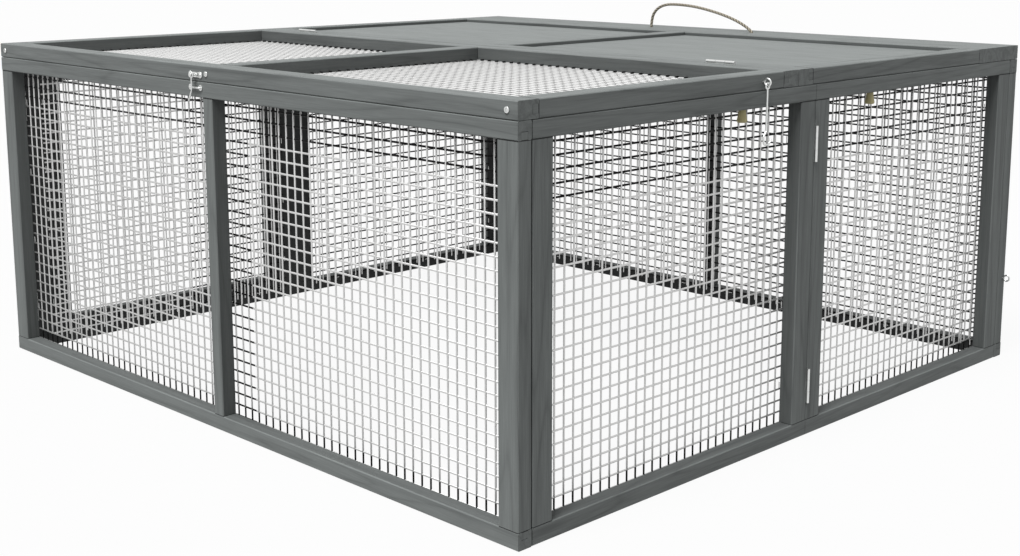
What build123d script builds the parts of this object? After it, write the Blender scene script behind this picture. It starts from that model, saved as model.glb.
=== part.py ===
from build123d import *
import math
import os

# Folding rabbit cage: a bottomless pen of four wire walls under a two-part lid.
# Sizes are in millimetres. X runs along the wide front wall, Y from front to rear, Z up.
# The origin is on the floor under the middle of the pen. The front wall faces -Y.

# Whole pen
PEN_WIDTH = 1100.0
PEN_DEPTH = 1040.0
WALL_HEIGHT = 452.0
LID_REST_GAP = 0.5

# Timber sections
WALL_THICKNESS = 20.0
TIMBER_ARRIS = 1.0
RAIL_HEIGHT = 20.0
STILE_WIDTH = 30.0
CENTRE_STILE_WIDTH = 20.0
LID_THICKNESS = 20.0
LID_RAIL_WIDTH = 30.0
HANDLE_RAIL_WIDTH = 114.0
LID_FRONT_REACH = 481.0

# Grooves and mortises in the rails, and the boards and stub tenons that stand in them
GROOVE_WIDTH = 10.0
GROOVE_DEPTH = 9.0
GROOVE_SETBACK = 5.0
TENON_END_PLAY = 0.5
TENON_SIDE_PLAY = 0.1
BOARD_THICKNESS = 9.0
BOARD_EDGE_PLAY = 1.5

# Welded wire, drawn with every fourth wire of the real sheet
WIRE_PITCH = 15.0
WIRES_PER_GAP = 4
WIRE_WIDTH = 2.4
WIRE_THICKNESS = 1.0
MESH_LAP_ON_RAIL = 8.0
MESH_LAP_ON_STILE = 3.0
LID_REBATE_PLAY = 0.3

# Seams between the folding pieces
SIDE_SEAM_GAP = 1.0
CORNER_GAP = 1.5
LID_SEAM_GAP = 1.0

# Butt hinges
HINGE_LENGTH = 45.0
KNUCKLE_DIAMETER = 4.0
KNUCKLE_STANDOFF = 2.3
CORNER_STANDOFF = 4.0
KNUCKLE_END_GAP = 0.3
KNUCKLE_CLEARANCE = 0.3
LEAF_THICKNESS = 1.0
LEAF_BITE = 15.0
PIN_DIAMETER = 2.0
PIN_PLAY = 0.05
OPEN_PIVOT_PLAY = 0.3
WALL_HINGE_TOP_DROP = 74.0
WALL_HINGE_BOTTOM_RISE = 66.0
LID_HINGE_INSET = 119.0

# Screw eyes, side hooks and their wire
WIRE_DIAMETER = 2.5
EYE_RING_DIAMETER = 8.5
EYE_STANDOFF = 6.5
EYE_SHANK_LENGTH = 12.0
EYE_HOLE_PLAY = 0.1
HOOK_RING_DIAMETER = 6.6
HOOK_LENGTH = 73.0
HOOK_SWEEP = 9.5
HOOK_BEND_RADIUS = 3.2
HOOK_EYE_REACH = 408.0
WALL_EYE_SETBACK = 6.0
WALL_EYE_HEIGHT = 122.0

# Front latch
LATCH_OFFSET = 23.5
LATCH_PLATE_LENGTH = 30.0
LATCH_PLATE_HEIGHT = 8.4
LATCH_PLATE_THICKNESS = 1.2
LATCH_PLATE_DROP = 12.0
LATCH_POST_DIAMETER = 3.0
LATCH_POST_HEAD = 5.5
LATCH_POST_HEAD_THICKNESS = 1.2
LATCH_STANDOFF = 6.4
LATCH_RING_DIAMETER = 6.2
LATCH_ARM_LENGTH = 26.0
LATCH_TAIL = 12.0
KEEPER_DROP = 28.0
KEEPER_SPACING = 22.0
KEEPER_PLATE_DIAMETER = 7.5
KEEPER_STANDOFF = 3.2

# Pan-head screws along the front of the lid
LID_SCREW_HEAD = 7.0
LID_SCREW_HEAD_THICKNESS = 1.4
LID_SCREW_SHANK = 3.5
LID_SCREW_LENGTH = 26.0
LID_SCREW_END_DISTANCE = 15.0
SCREW_HOLE_PLAY = 0.1

# Rope handle on the wide rear rail of the lid
ROPE_DIAMETER = 5.0
ROPE_SETBACK = 53.0
ROPE_HOLE_DIAMETER = 7.0
ROPE_HOLE_EASING = 1.5
ROPE_KNOT_DIAMETER = 13.0
ROPE_KNOT_HEIGHT = 7.5
ROPE_KNOT_BORE = 14.0
ROPE_KNOT_BORE_DEPTH = 9.0

# The rope's route over the rail: distance from the middle, height above the rail
ROPE_ROUTE = [
    (-110.0, -11.0),
    (-110.0, 14.0),
    (-99.0, 34.0),
    (-78.0, 43.0),
    (-50.0, 41.0),
    (-12.0, 34.0),
    (36.0, 23.0),
    (78.0, 15.0),
    (99.0, 8.0),
    (110.0, -2.0),
    (110.0, -11.0),
]

# Cord stoppers that hang under the top rails of the side panels
STOPPER_FROM_SEAM = 138.0
STOPPER_TOP_DIAMETER = 9.0
STOPPER_BOTTOM_DIAMETER = 13.0
STOPPER_LENGTH = 16.0
STOPPER_LIP = 2.0
CORD_DIAMETER = 4.0
CORD_HOLE_DIAMETER = 5.0

# Places worked out from the sizes above
HALF_WIDTH = PEN_WIDTH / 2
HALF_DEPTH = PEN_DEPTH / 2
LID_BOTTOM = WALL_HEIGHT + LID_REST_GAP
LID_TOP = LID_BOTTOM + LID_THICKNESS
PANEL_LENGTH = HALF_DEPTH - WALL_THICKNESS - CORNER_GAP - SIDE_SEAM_GAP / 2
PANEL_MIDDLE = SIDE_SEAM_GAP / 2 + PANEL_LENGTH / 2
LID_SEAM = -HALF_DEPTH + LID_FRONT_REACH
TENON_LENGTH = GROOVE_DEPTH - TENON_END_PLAY
MESH_SPACING = WIRE_PITCH * WIRES_PER_GAP
MESH_THICKNESS = 2 * WIRE_THICKNESS
KNUCKLE_RADIUS = KNUCKLE_DIAMETER / 2
WIRE_RADIUS = WIRE_DIAMETER / 2
WALL_HINGE_HEIGHTS = (WALL_HINGE_BOTTOM_RISE, WALL_HEIGHT - WALL_HINGE_TOP_DROP)
LID_HINGE_PLACES = (-HALF_WIDTH + LID_HINGE_INSET, HALF_WIDTH - LID_HINGE_INSET)
HOOK_EYE_Y = -HALF_DEPTH + HOOK_EYE_REACH
HOOK_EYE_Z = LID_BOTTOM + LID_THICKNESS / 2
ROPE_LINE = HALF_DEPTH - ROPE_SETBACK
ROPE_ENDS = (ROPE_ROUTE[0][0], ROPE_ROUTE[-1][0])

NODES = {}


def block(x_limits, y_limits, z_limits):
    """Box between a low and a high limit along each axis."""
    limits = (x_limits, y_limits, z_limits)
    size = [high - low for low, high in limits]
    middle = [(high + low) / 2 for low, high in limits]
    return Pos(*middle) * Box(*size)


def batten(x_limits, y_limits, z_limits, grain):
    """Timber between limits with its four long edges eased; grain is the axis that it runs along."""
    timber = block(x_limits, y_limits, z_limits)
    return chamfer(timber.edges().filter_by(grain), TIMBER_ARRIS)


def rod(start, direction, radius, length):
    """Round bar that starts at a point and runs along a direction."""
    plane = Plane(origin=start, z_dir=direction)
    return plane * Cylinder(radius, length, align=(Align.CENTER, Align.CENTER, Align.MIN))


def ring(middle, normal, diameter):
    """Closed ring of wire, measured between the wire's centre lines."""
    return Plane(origin=middle, z_dir=normal) * Torus(diameter / 2, WIRE_RADIUS)


def bent_wire(points, bend_radius):
    """Wire bent along a route of points, with one radius at every bend."""
    path = FilletPolyline(*points, radius=bend_radius)
    section = Plane(origin=path @ 0, z_dir=path % 0) * Circle(WIRE_RADIUS)
    return sweep(section, path=path)


def mirrored(shapes, plane):
    """Mirror image of every shape in a list."""
    return [mirror(shape, about=plane) for shape in shapes]


def add(name, *shapes):
    """Keep the solids of one node under its name."""
    NODES[name] = [solid for shape in shapes for solid in shape.solids()]


# Wall frames. A wall is drawn facing -Y, with its outer face on y = 0 and its middle on x = 0.

def groove_limits():
    """Limits of a mortise through the thickness, measured from the outer face."""
    return (GROOVE_SETBACK, GROOVE_SETBACK + GROOVE_WIDTH)


def tenon_limits():
    """Limits of a tenon through the thickness, measured from the outer face."""
    low, high = groove_limits()
    return (low + TENON_SIDE_PLAY, high - TENON_SIDE_PLAY)


def wall_rails(length, stile_places):
    """Bottom and top rail, mortised under each stile; stile_places lists (middle, width)."""
    x_limits = (-length / 2, length / 2)
    y_limits = (0, WALL_THICKNESS)
    bottom = batten(x_limits, y_limits, (0, RAIL_HEIGHT), Axis.X)
    under_top = WALL_HEIGHT - RAIL_HEIGHT
    top = batten(x_limits, y_limits, (under_top, WALL_HEIGHT), Axis.X)
    for middle, width in stile_places:
        reach = width / 2 + TENON_SIDE_PLAY
        mortise = (middle - reach, middle + reach)
        bottom -= block(mortise, groove_limits(), (RAIL_HEIGHT - GROOVE_DEPTH, RAIL_HEIGHT))
        top -= block(mortise, groove_limits(), (under_top, under_top + GROOVE_DEPTH))
    return bottom, top


def wall_stile(middle, width):
    """Upright between the rails, with a stub tenon in each mortise."""
    x_limits = (middle - width / 2, middle + width / 2)
    z_limits = (RAIL_HEIGHT, WALL_HEIGHT - RAIL_HEIGHT)
    stile = batten(x_limits, (0, WALL_THICKNESS), z_limits, Axis.Z)
    tenons = (RAIL_HEIGHT - TENON_LENGTH, WALL_HEIGHT - RAIL_HEIGHT + TENON_LENGTH)
    return stile + block(x_limits, tenon_limits(), tenons)


def wire_sheet(length, height, lap_along, lap_across):
    """Uprights with cross wires welded behind them, lapping onto the timber round an opening."""
    columns = max(1, round(length / MESH_SPACING))
    rows = max(1, round(height / MESH_SPACING))
    full_length = length + 2 * lap_along
    full_height = height + 2 * lap_across
    seat = (Align.CENTER, Align.CENTER, Align.MIN)
    upright = Box(WIRE_WIDTH, full_height, WIRE_THICKNESS, align=seat)
    cross_wire = Pos(0, 0, WIRE_THICKNESS) * Box(full_length, WIRE_WIDTH, WIRE_THICKNESS, align=seat)
    step_along = (full_length - WIRE_WIDTH) / columns
    step_across = (full_height - WIRE_WIDTH) / rows
    wires = [place * upright for place in GridLocations(step_along, step_across, columns + 1, 1)]
    wires += [place * cross_wire for place in GridLocations(step_along, step_across, 1, rows + 1)]
    return wires


def wall_mesh(length):
    """Wire sheet on the inner face of a wall."""
    opening = length - 2 * STILE_WIDTH
    height = WALL_HEIGHT - 2 * RAIL_HEIGHT
    place = Plane(origin=(0, WALL_THICKNESS, WALL_HEIGHT / 2), x_dir=(-1, 0, 0), z_dir=(0, 1, 0)).location
    return [place * wire for wire in wire_sheet(opening, height, MESH_LAP_ON_STILE, MESH_LAP_ON_RAIL)]


def end_stile_places(length):
    """Middle and width of the upright at each end of a wall."""
    middle = (length - STILE_WIDTH) / 2
    return [(-middle, STILE_WIDTH), (middle, STILE_WIDTH)]


def wall_groups(length, stile_places):
    """Rails, stiles and wires of one wall."""
    stiles = [wall_stile(middle, width) for middle, width in stile_places]
    return [wall_rails(length, stile_places), stiles, wall_mesh(length)]


# Butt hinges. A hinge is drawn with its pin on the Z axis and its leaves towards -X.
# The carrying leaf is on the +Y side with the two outer knuckles and the pin.

def knuckle_limits():
    """Limits along the pin of the lower, middle and upper knuckle."""
    length = (HINGE_LENGTH - 2 * KNUCKLE_END_GAP) / 3
    starts = [-HINGE_LENGTH / 2 + n * (length + KNUCKLE_END_GAP) for n in range(3)]
    return [(start, start + length) for start in starts]


def round_along_pin(radius, limits):
    """Round bar on the hinge's own axis."""
    low, high = limits
    return rod((0, 0, low), (0, 0, 1), radius, high - low)


def leaf_body(side, gap, standoff):
    """Flat plate of a leaf from the pin to its inner end; side is +1 or -1 across the seam."""
    faces = sorted((side * gap / 2, side * (gap / 2 + LEAF_THICKNESS)))
    return block((-standoff - LEAF_BITE, 0), faces, (-HINGE_LENGTH / 2, HINGE_LENGTH / 2))


def hinge_leaf(side, gap, standoff, pin_play=PIN_PLAY):
    """Leaf with its knuckles: the carrying leaf for side +1, the swinging one for side -1."""
    lower, middle, upper = knuckle_limits()
    own, other = ((lower, upper), (middle,)) if side > 0 else ((middle,), (lower, upper))
    leaf = leaf_body(side, gap, standoff)
    for low, high in other:
        spare = (low - KNUCKLE_END_GAP, high + KNUCKLE_END_GAP)
        leaf -= round_along_pin(KNUCKLE_RADIUS + KNUCKLE_CLEARANCE, spare)
    for limits in own:
        leaf += round_along_pin(KNUCKLE_RADIUS, limits)
    whole = (-HINGE_LENGTH / 2, HINGE_LENGTH / 2)
    return leaf - round_along_pin(PIN_DIAMETER / 2 + pin_play, whole)


def hinge_pin():
    """Plain pin through the three knuckles."""
    return round_along_pin(PIN_DIAMETER / 2, (-HINGE_LENGTH / 2, HINGE_LENGTH / 2))


def leaf_recess(side, gap, standoff):
    """Room for a leaf in the timber on one side of the seam."""
    return leaf_body(side, gap, standoff)


def knuckle_recess():
    """Room for the knuckles where they sink into the face beside them."""
    half = HINGE_LENGTH / 2 + KNUCKLE_END_GAP
    return round_along_pin(KNUCKLE_RADIUS + KNUCKLE_CLEARANCE, (-half, half))


def side_seam_places():
    """Hinge places on the middle seam of the right side; the carrying leaf is on the rear panel."""
    axis_x = HALF_WIDTH + KNUCKLE_STANDOFF
    return [Location((axis_x, 0, height)) for height in WALL_HINGE_HEIGHTS]


def corner_places(end):
    """Hinge places at a right-hand corner; end is +1 at the rear and -1 at the front."""
    axis_x = HALF_WIDTH - WALL_THICKNESS - CORNER_STANDOFF
    axis_y = end * (HALF_DEPTH - WALL_THICKNESS - CORNER_GAP / 2)
    turn = (0, 180, 0) if end > 0 else (0, 0, 180)
    return [Location((axis_x, axis_y, height), turn) for height in WALL_HINGE_HEIGHTS]


def lid_hinge_places():
    """Hinge places on the seam of the lid; the carrying leaf is on the rear half."""
    axis_z = LID_TOP + KNUCKLE_STANDOFF
    return [
        Plane(origin=(x, LID_SEAM, axis_z), x_dir=(0, 0, 1), z_dir=(-1, 0, 0)).location
        for x in LID_HINGE_PLACES
    ]


# Front and rear wall

def screw_eye():
    """Ring on a plain shank, drawn with the timber face on x = 0 and the shank along -X."""
    eye = ring((EYE_STANDOFF, 0, 0), (0, 1, 0), EYE_RING_DIAMETER)
    reach = EYE_STANDOFF - EYE_RING_DIAMETER / 2
    return eye + rod((-EYE_SHANK_LENGTH, 0, 0), (1, 0, 0), WIRE_RADIUS, EYE_SHANK_LENGTH + reach)


def eye_hole():
    """Drilled hole for a screw eye's shank, drawn like the eye."""
    length = EYE_SHANK_LENGTH + EYE_HOLE_PLAY
    return rod((-length, 0, 0), (1, 0, 0), WIRE_RADIUS + EYE_HOLE_PLAY, length)


def cut_all(shape, cutters):
    """Take every cutter away from a shape."""
    for cutter in cutters:
        shape -= cutter
    return shape


def both_sides(shapes):
    """Shapes of the right side with their mirror images on the left."""
    return list(shapes) + mirrored(shapes, Plane.YZ)


def long_wall(name, end):
    """Front wall for end -1, rear wall for end +1, with the carrying leaves of its hinges."""
    groups = wall_groups(PEN_WIDTH, end_stile_places(PEN_WIDTH) + [(0, CENTRE_STILE_WIDTH)])
    if end > 0:
        groups = [mirrored(group, Plane.XZ) for group in groups]
    place = Pos(0, end * HALF_DEPTH, 0)
    (bottom, top), stiles, mesh = [[place * piece for piece in group] for group in groups]

    places = corner_places(end)
    recesses = [place * leaf_recess(1, CORNER_GAP, CORNER_STANDOFF) for place in places]
    recesses += [place * knuckle_recess() for place in places]
    stiles = [cut_all(stile, both_sides(recesses)) for stile in stiles]

    add(name + "_bottom_rail", bottom)
    add(name + "_top_rail", top)
    add(name + "_stiles", *stiles)
    add(name + "_mesh", *mesh)
    leaves = [place * hinge_leaf(1, CORNER_GAP, CORNER_STANDOFF) for place in places]
    add(name + "_hinge_leaves", *both_sides(leaves))
    add(name + "_hinge_pins", *both_sides([place * hinge_pin() for place in places]))


def rear_wall_eyes():
    """Screw eye in each end of the rear wall, in the corner stiles."""
    place = Pos(HALF_WIDTH, HALF_DEPTH - WALL_EYE_SETBACK, WALL_EYE_HEIGHT)
    holes = both_sides([place * eye_hole()])
    stiles = [cut_all(stile, holes) for stile in NODES["rear_wall_stiles"]]
    add("rear_wall_stiles", *stiles)
    add("rear_wall_screw_eyes", *both_sides([place * screw_eye()]))


def latch_keeper():
    """Wire bar on two round plates, on the top rail of the front wall."""
    height = LID_TOP - KEEPER_DROP
    front = -HALF_DEPTH
    bar_y = front - KEEPER_STANDOFF
    ends = [-LATCH_OFFSET - KEEPER_SPACING / 2, -LATCH_OFFSET + KEEPER_SPACING / 2]
    route = [(ends[0], front, height), (ends[0], bar_y, height)]
    route += [(ends[1], bar_y, height), (ends[1], front, height)]
    keeper = bent_wire(route, WIRE_RADIUS + LATCH_PLATE_THICKNESS / 2)
    for x in ends:
        keeper += rod((x, front, height), (0, -1, 0), KEEPER_PLATE_DIAMETER / 2, LATCH_PLATE_THICKNESS)
    add("latch_keeper", keeper)


# Side panels

def stopper():
    """Bell-shaped stopper under a rail, with the cord end that holds it; the rail's underside is z = 0."""
    top = STOPPER_TOP_DIAMETER / 2
    foot = STOPPER_BOTTOM_DIAMETER / 2
    lip = STOPPER_LIP
    waist = (top + (foot - top) * 0.25, -STOPPER_LENGTH * 0.45)
    outline = Line((0, 0), (top, 0))
    outline += ThreePointArc((top, 0), waist, (foot, lip - STOPPER_LENGTH))
    outline += Line((foot, lip - STOPPER_LENGTH), (foot - lip / 2, -STOPPER_LENGTH))
    outline += Line((foot - lip / 2, -STOPPER_LENGTH), (0, -STOPPER_LENGTH))
    outline += Line((0, -STOPPER_LENGTH), (0, 0))
    bell = revolve(Plane.XZ * make_face(outline), Axis.Z)
    return bell + rod((0, 0, 0), (0, 0, 1), CORD_DIAMETER / 2, RAIL_HEIGHT)


def side_panel(end):
    """One half of the right side: rails, stiles, mesh, hinge leaves and stopper."""
    place = Location((HALF_WIDTH, end * PANEL_MIDDLE, 0), (0, 0, 90))
    groups = wall_groups(PANEL_LENGTH, end_stile_places(PANEL_LENGTH))
    (bottom, top), stiles, mesh = [[place * piece for piece in group] for group in groups]

    seam_side = end
    seams = side_seam_places()
    corners = corner_places(end)
    recesses = [seam * leaf_recess(seam_side, SIDE_SEAM_GAP, KNUCKLE_STANDOFF) for seam in seams]
    recesses += [corner * leaf_recess(-1, CORNER_GAP, CORNER_STANDOFF) for corner in corners]
    stiles = [cut_all(stile, recesses) for stile in stiles]

    cord_place = Pos(HALF_WIDTH - WALL_THICKNESS / 2, end * STOPPER_FROM_SEAM, WALL_HEIGHT - RAIL_HEIGHT)
    top -= cord_place * rod((0, 0, 0), (0, 0, 1), CORD_HOLE_DIAMETER / 2, RAIL_HEIGHT)

    leaves = [seam * hinge_leaf(seam_side, SIDE_SEAM_GAP, KNUCKLE_STANDOFF) for seam in seams]
    return {
        "rails": [bottom, top],
        "stiles": stiles,
        "mesh": mesh,
        "seam_leaves": leaves,
        "corners": corners,
        "stopper": [cord_place * stopper()],
    }


def add_side_panels():
    """The four half panels; the left ones mirror the right ones."""
    for end, end_name in ((1, "rear"), (-1, "front")):
        for hand in ("right", "left"):
            panel = side_panel(end)
            open_pivot = hand == "left" and end < 0
            play = OPEN_PIVOT_PLAY if open_pivot else PIN_PLAY
            corner_leaves = [
                corner * hinge_leaf(-1, CORNER_GAP, CORNER_STANDOFF, play) for corner in panel["corners"]
            ]
            groups = {
                "rails": panel["rails"],
                "stiles": panel["stiles"],
                "mesh": panel["mesh"],
                "hinge_leaves": panel["seam_leaves"] + corner_leaves,
                "cord_stopper": panel["stopper"],
            }
            if end > 0:
                groups["seam_pins"] = [seam * hinge_pin() for seam in side_seam_places()]
            for group, shapes in groups.items():
                if hand == "left":
                    shapes = mirrored(shapes, Plane.YZ)
                add(f"{hand}_{end_name}_{group}", *shapes)


# Lid. A lid rail is drawn from limits along X and Y and lies between the lid's two faces.

def lid_batten(x_limits, y_limits, grain):
    """Flat timber of the lid's full thickness."""
    return batten(x_limits, y_limits, (LID_BOTTOM, LID_TOP), grain)


def lid_groove_limits(play=0.0):
    """Limits of the lid's groove in height, less a play on each face."""
    high = LID_TOP - GROOVE_SETBACK - play
    return (high - GROOVE_WIDTH + 2 * play, high)


def lid_cross_rail(y_limits, groove_edges, spans=None):
    """Full-width rail, grooved over spans of x; groove_edges lists (edge y, direction into the timber)."""
    x_limits = (-HALF_WIDTH, HALF_WIDTH)
    rail = lid_batten(x_limits, y_limits, Axis.X)
    for edge, inward in groove_edges:
        groove = sorted((edge, edge + inward * GROOVE_DEPTH))
        for span in spans or [x_limits]:
            rail -= block(span, groove, lid_groove_limits())
    return rail


def lid_side_rail(x_limits, y_limits, groove_edges):
    """Rail from front to rear between two cross rails, with a stub tenon at each end."""
    low, high = y_limits
    rail = lid_batten(x_limits, y_limits, Axis.Y)
    rail += block(x_limits, (low - TENON_LENGTH, high + TENON_LENGTH), lid_groove_limits(TENON_SIDE_PLAY))
    for edge, inward in groove_edges:
        groove = sorted((edge, edge + inward * GROOVE_DEPTH))
        rail -= block(groove, (low - TENON_LENGTH, high + TENON_LENGTH), lid_groove_limits())
    return rail


def lid_openings():
    """Limits along X of the two openings of each lid half."""
    outer = HALF_WIDTH - LID_RAIL_WIDTH
    inner = LID_RAIL_WIDTH / 2
    return [(-outer, -inner), (inner, outer)]


def lid_tenon_spans():
    """Limits along X of the mortises for the side rails and the centre rail."""
    inner, half, play = HALF_WIDTH - LID_RAIL_WIDTH, LID_RAIL_WIDTH / 2, TENON_SIDE_PLAY
    return [(-HALF_WIDTH, -inner + play), (-half - play, half + play), (inner - play, HALF_WIDTH)]


def lid_hinge_recesses(side):
    """Room for the lid hinges' leaves on one side of the seam."""
    return [place * leaf_recess(side, LID_SEAM_GAP, KNUCKLE_STANDOFF) for place in lid_hinge_places()]


def lid_hinge_leaves(side):
    """Leaves of the lid hinges on one side of the seam."""
    return [place * hinge_leaf(side, LID_SEAM_GAP, KNUCKLE_STANDOFF) for place in lid_hinge_places()]


def lid_screw_places():
    """Screws in the front edge of the lid: near each end and in the middle."""
    reach = HALF_WIDTH - LID_SCREW_END_DISTANCE
    height = LID_BOTTOM + LID_THICKNESS / 2
    return [Plane(origin=(x, -HALF_DEPTH, height), z_dir=(0, -1, 0)) for x in (-reach, 0, reach)]


def lid_screw():
    """Domed screw; the timber face is z = 0 and the shank runs along -Z."""
    head = Cylinder(LID_SCREW_HEAD / 2, LID_SCREW_HEAD_THICKNESS, align=(Align.CENTER, Align.CENTER, Align.MIN))
    rim = head.edges().sort_by(Axis.Z)[-1]
    head = fillet(rim, LID_SCREW_HEAD_THICKNESS * 0.7)
    return head + rod((0, 0, -LID_SCREW_LENGTH), (0, 0, 1), LID_SCREW_SHANK / 2, LID_SCREW_LENGTH)


def lid_screw_hole():
    """Drilled hole for a lid screw, a little deeper than its shank."""
    length = LID_SCREW_LENGTH + SCREW_HOLE_PLAY
    return rod((0, 0, -length), (0, 0, 1), LID_SCREW_SHANK / 2 + SCREW_HOLE_PLAY, length)


def lid_mesh_panels(y_limits):
    """Wire sheet under each opening of the front half, flush in a rebate of the frame."""
    low, high = y_limits
    panels = []
    for left, right in lid_openings():
        place = Pos((left + right) / 2, (low + high) / 2, LID_BOTTOM)
        sheet = wire_sheet(right - left, high - low, MESH_LAP_ON_RAIL, MESH_LAP_ON_RAIL)
        panels += [place * wire for wire in sheet]
    return panels


def lid_mesh_rebates(y_limits):
    """Room under the frame for the laps of the wire sheets."""
    low, high = y_limits
    lap = MESH_LAP_ON_RAIL + LID_REBATE_PLAY
    z_limits = (LID_BOTTOM, LID_BOTTOM + MESH_THICKNESS)
    return [
        block((left - lap, right + lap), (low - lap, high + lap), z_limits)
        for left, right in lid_openings()
    ]


def lid_front_half():
    """Front half: a frame over two wire sheets, that flips back onto the rear half."""
    front = (-HALF_DEPTH, -HALF_DEPTH + LID_RAIL_WIDTH)
    seam_edge = LID_SEAM - LID_SEAM_GAP / 2
    seam = (seam_edge - LID_RAIL_WIDTH, seam_edge)
    between = (front[1], seam[0])
    front_rail = lid_cross_rail(front, [(front[1], -1)], lid_tenon_spans())
    seam_rail = lid_cross_rail(seam, [(seam[0], 1)], lid_tenon_spans())
    inner = HALF_WIDTH - LID_RAIL_WIDTH
    side_rails = [
        lid_side_rail(x_limits, between, []) for x_limits in ((inner, HALF_WIDTH), (-HALF_WIDTH, -inner))
    ]
    centre_rail = lid_side_rail((-LID_RAIL_WIDTH / 2, LID_RAIL_WIDTH / 2), between, [])

    rebates = lid_mesh_rebates(between)
    screw_holes = [place * lid_screw_hole() for place in lid_screw_places()]
    front_rail = cut_all(front_rail, rebates + screw_holes)
    seam_rail = cut_all(seam_rail, rebates + lid_hinge_recesses(-1))
    eye_place = Pos(HALF_WIDTH, HOOK_EYE_Y, HOOK_EYE_Z)
    eye_holes = both_sides([eye_place * eye_hole()])
    side_rails = [cut_all(rail, rebates + screw_holes + eye_holes) for rail in side_rails]
    centre_rail = cut_all(centre_rail, rebates + screw_holes)

    add("lid_front_front_rail", front_rail)
    add("lid_front_seam_rail", seam_rail)
    add("lid_front_side_rails", *side_rails)
    add("lid_front_centre_rail", centre_rail)
    add("lid_front_mesh", *lid_mesh_panels(between))
    add("lid_front_hinge_leaves", *lid_hinge_leaves(-1))
    add("lid_front_screws", *[place * lid_screw() for place in lid_screw_places()])
    add("lid_front_hook_eyes", *both_sides([eye_place * screw_eye()]))


def lid_board(x_limits, y_limits):
    """Plain board held in the grooves all round its opening."""
    bite = GROOVE_DEPTH - BOARD_EDGE_PLAY
    (left, right), (low, high) = x_limits, y_limits
    middle = sum(lid_groove_limits()) / 2
    z_limits = (middle - BOARD_THICKNESS / 2, middle + BOARD_THICKNESS / 2)
    return block((left - bite, right + bite), (low - bite, high + bite), z_limits)


def lid_rear_half():
    """Rear half: a frame round two boards, with a wide rear rail for the handle."""
    seam_edge = LID_SEAM + LID_SEAM_GAP / 2
    seam = (seam_edge, seam_edge + LID_RAIL_WIDTH)
    handle = (HALF_DEPTH - HANDLE_RAIL_WIDTH, HALF_DEPTH)
    between = (seam[1], handle[0])
    seam_rail = lid_cross_rail(seam, [(seam[1], -1)])
    handle_rail = lid_cross_rail(handle, [(handle[0], 1)])
    inner = HALF_WIDTH - LID_RAIL_WIDTH
    side_rails = [
        lid_side_rail((inner, HALF_WIDTH), between, [(inner, 1)]),
        lid_side_rail((-HALF_WIDTH, -inner), between, [(-inner, -1)]),
    ]
    half = LID_RAIL_WIDTH / 2
    centre_rail = lid_side_rail((-half, half), between, [(-half, 1), (half, -1)])
    boards = [lid_board(x_limits, between) for x_limits in lid_openings()]

    seam_rail = cut_all(seam_rail, lid_hinge_recesses(1))
    add("lid_rear_seam_rail", seam_rail)
    add("lid_rear_handle_rail", cut_all(handle_rail, [rope_hole(x) for x in ROPE_ENDS]))
    add("lid_rear_side_rails", *side_rails)
    add("lid_rear_centre_rail", centre_rail)
    add("lid_rear_boards", *boards)
    add("lid_rear_hinge_leaves", *lid_hinge_leaves(1))
    add("lid_rear_hinge_pins", *[place * hinge_pin() for place in lid_hinge_places()])


# Rope handle

def rope_hole(x):
    """Hole for a rope end, eased at the top, with room for the knot underneath."""
    hole = rod((x, ROPE_LINE, LID_BOTTOM), (0, 0, 1), ROPE_HOLE_DIAMETER / 2, LID_THICKNESS)
    hole += rod((x, ROPE_LINE, LID_BOTTOM), (0, 0, 1), ROPE_KNOT_BORE / 2, ROPE_KNOT_BORE_DEPTH)
    mouth = ROPE_HOLE_DIAMETER / 2
    easing = Cone(mouth, mouth + ROPE_HOLE_EASING, ROPE_HOLE_EASING, align=(Align.CENTER, Align.CENTER, Align.MAX))
    return hole + Pos(x, ROPE_LINE, LID_TOP) * easing


def rope_bends():
    """Largest bend radius at each inner point of the route, held by the shorter run beside it."""
    bends = []
    for before, here, after in zip(ROPE_ROUTE, ROPE_ROUTE[1:], ROPE_ROUTE[2:]):
        arriving = Vector(*here) - Vector(*before)
        leaving = Vector(*after) - Vector(*here)
        half_turn = math.radians(arriving.get_angle(leaving)) / 2
        bends.append(0.45 * min(arriving.length, leaving.length) / math.tan(half_turn))
    return bends


def rope_handle():
    """Carrying rope over the rail, with a knot under each end."""
    points = [(x, ROPE_LINE, LID_TOP + z) for x, z in ROPE_ROUTE]
    bends = rope_bends()
    path = FilletPolyline(*points, radius=bends)
    section = Plane(origin=path @ 0, z_dir=path % 0) * Circle(ROPE_DIAMETER / 2)
    rope = sweep(section, path=path)
    ideal = math.pi * (ROPE_DIAMETER / 2) ** 2 * path.length
    print("rope bend radii", [round(bend, 1) for bend in bends])
    print(f"rope length {path.length:.1f} mm, volume {rope.volume:.0f}, section times length {ideal:.0f}")
    add("rope_handle", rope)

    knots = []
    for x, z in (ROPE_ROUTE[0], ROPE_ROUTE[-1]):
        knot_top = (x, ROPE_LINE, LID_TOP + z)
        knot = rod(knot_top, (0, 0, -1), ROPE_KNOT_DIAMETER / 2, ROPE_KNOT_HEIGHT)
        rims = knot.edges().filter_by(GeomType.CIRCLE)
        knots.append(fillet(rims, ROPE_KNOT_HEIGHT * 0.3))
    add("rope_knots", *knots)


# Latch and side hooks

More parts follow.
